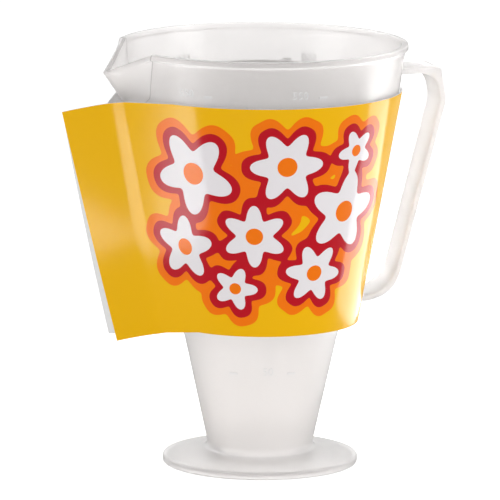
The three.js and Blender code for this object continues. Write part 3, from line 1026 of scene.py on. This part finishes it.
def make_white_card():
    """The card's plain white inside and cut edges, with a trace of fibre."""
    material, shader, tree = new_material("white_card")
    shader.inputs["Roughness"].default_value = WHITE_ROUGHNESS
    fibres = add_noise(tree, FIBRE_GRAIN)
    tree.links.new(spread(tree, fibres, *WHITE_SHADES), shader.inputs["Base Color"])
    bump(tree, shader, fibres, *FIBRE_BUMP)
    return material


sleeve = make_sleeve(make_printed_card(), make_white_card())
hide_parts("printed_sleeve")

# %% [markdown]
# ## The studio
# A white table and backdrop, a window on each side, a top light, and low lamps that stand in for
# white cards on the table. The floor glows white to the camera, and still takes the cup's shadow,
# because a part of what the camera sees there is its lit surface.


# %% Floor and world
AMBIENT = 0.47
ROOM_GLOSS = 0.08
BACKDROP_GLOSS = 0.85
FLOOR_GLOW = 0.66
BACKDROP_DIRECTION = (0.267, 0.964, 0)
BACKDROP_EDGE = (-0.1, 0.3)
FLOOR_REACH = 3
FLOOR_TONE = (0.8, 0.8, 0.8, 1)
FLOOR_ROUGHNESS = 0.9


def make_floor():
    """A plain pale floor that glows for the camera and for rays through the plastic."""
    bm = bmesh.new()
    bmesh.ops.create_grid(bm, x_segments=1, y_segments=1, size=FLOOR_REACH)
    mesh = bpy.data.meshes.new("floor")
    bm.to_mesh(mesh)
    bm.free()
    material, shader, tree = new_material("white_floor")
    shader.inputs["Base Color"].default_value = FLOOR_TONE
    shader.inputs["Roughness"].default_value = FLOOR_ROUGHNESS
    shader.inputs["Specular IOR Level"].default_value = 0.0
    rays = add_node(tree, "ShaderNodeLightPath").outputs
    seen = math_node(tree, "MAXIMUM", rays["Is Camera Ray"], rays["Is Transmission Ray"])
    tree.links.new(math_node(tree, "MULTIPLY", seen, FLOOR_GLOW), shader.inputs["Emission Strength"])
    shader.inputs["Emission Color"].default_value = (1, 1, 1, 1)
    mesh.materials.append(material)
    floor = bpy.data.objects.new("floor", mesh)
    bpy.context.scene.collection.objects.link(floor)


def make_world():
    """White behind the cup and dim on the camera's side, as in a room with a white backdrop."""
    world = bpy.data.worlds.new("studio")
    world.use_nodes = True
    bpy.context.scene.world = world
    tree = world.node_tree
    background = tree.nodes["Background"]
    rays = add_node(tree, "ShaderNodeLightPath").outputs
    direction = add_node(tree, "ShaderNodeTexCoord").outputs["Generated"]
    ahead = add_node(tree, "ShaderNodeVectorMath", operation="DOT_PRODUCT")
    ahead.inputs[1].default_value = BACKDROP_DIRECTION
    tree.links.new(direction, ahead.inputs[0])
    room = add_node(tree, "ShaderNodeMapRange", interpolation_type="SMOOTHSTEP")
    room.inputs["From Min"].default_value = BACKDROP_EDGE[0]
    room.inputs["From Max"].default_value = BACKDROP_EDGE[1]
    room.inputs["To Min"].default_value = ROOM_GLOSS
    room.inputs["To Max"].default_value = BACKDROP_GLOSS
    tree.links.new(ahead.outputs["Value"], room.inputs["Value"])
    seen = math_node(tree, "MAXIMUM", rays["Is Camera Ray"], rays["Is Transmission Ray"])
    gloss = math_node(tree, "MULTIPLY", rays["Is Glossy Ray"], room.outputs["Result"])
    clear = math_node(tree, "MAXIMUM", seen, gloss)
    diffuse = math_node(tree, "MULTIPLY", rays["Is Diffuse Ray"], AMBIENT)
    strength = math_node(tree, "MAXIMUM", clear, diffuse)
    tree.links.new(strength, background.inputs["Strength"])
    background.inputs["Color"].default_value = (1, 1, 1, 1)


make_floor()
make_world()
print("floor and world made")


# %% Lights
def add_light(name, spot, aim, size, watts):
    """A soft rectangular lamp that stands at one place and points at another."""
    light = bpy.data.lights.new(name, "AREA")
    light.shape = "RECTANGLE"
    light.size, light.size_y = size
    light.energy = watts
    lamp = bpy.data.objects.new(name, light)
    lamp.location = spot
    lamp.rotation_mode = "QUATERNION"
    lamp.rotation_quaternion = (Vector(aim) - Vector(spot)).to_track_quat("-Z", "Y")
    lamp.visible_camera = False
    bpy.context.scene.collection.objects.link(lamp)
    return lamp


def add_reflector(name, spot, size, watts):
    """A low lamp that faces up and only shows as a sheen on the card and the plastic."""
    x, y, _ = spot
    lamp = add_light(name, spot, (x, y, 1), size, watts)
    lamp.visible_diffuse = False


CUP_MIDDLE = (0, 0, 0.08)
add_light("left_window", (-0.9, -0.2, 0.4), CUP_MIDDLE, (0.6, 0.6), 2.6)
add_light("right_window", (0.75, -0.55, 0.4), CUP_MIDDLE, (0.6, 0.6), 3.7)
add_light("top_light", (0, 0.1, 1.0), CUP_MIDDLE, (0.7, 0.7), 1.9)
add_reflector("left_reflector", (-0.265, -0.043, 0.012), (0.15, 0.11), 0.6)
add_reflector("right_reflector", (0.29, 0.06, 0.012), (0.3, 0.22), 2.4)
front_bounce = add_light("front_bounce", (-0.045, -0.2, 0.012), (0, 0, 0.09), (0.22, 0.1), 0.075)
front_bounce.visible_glossy = False

# %% [markdown]
# ## The camera
# The lens is long, so the sides hardly converge. The camera stands a little above the rim and
# to the spout's side of the cup's front.

# %% Camera
CAMERA_AZIMUTH = -15.5
CAMERA_ELEVATION = 10.18
CAMERA_DISTANCE = 2.233
CAMERA_ROLL = 0.35
PIXELS_PER_FOCAL_LENGTH = 5925
FRAME_PIXELS = 500
SENSOR_WIDTH = 36
AIM_HEIGHT = 0.0808
AIM_LEFT = 0.0042

azimuth = math.radians(CAMERA_AZIMUTH)
elevation = math.radians(CAMERA_ELEVATION)
back = Vector((
    math.sin(azimuth) * math.cos(elevation),
    -math.cos(azimuth) * math.cos(elevation),
    math.sin(elevation),
))
right = Vector((math.cos(azimuth), math.sin(azimuth), 0))
lens = bpy.data.cameras.new("photograph")
lens.sensor_width = SENSOR_WIDTH
lens.lens = SENSOR_WIDTH * PIXELS_PER_FOCAL_LENGTH / FRAME_PIXELS
camera = bpy.data.objects.new("photograph", lens)
camera.location = back * CAMERA_DISTANCE - right * AIM_LEFT + Vector((0, 0, AIM_HEIGHT))
camera.rotation_mode = "QUATERNION"
level = (-back).to_track_quat("-Z", "Y")
camera.rotation_quaternion = Quaternion(back, math.radians(CAMERA_ROLL)) @ level
bpy.context.scene.collection.objects.link(camera)
bpy.context.scene.camera = camera
bpy.context.scene.view_settings.view_transform = "Standard"
print("lens", round(lens.lens), "mm")
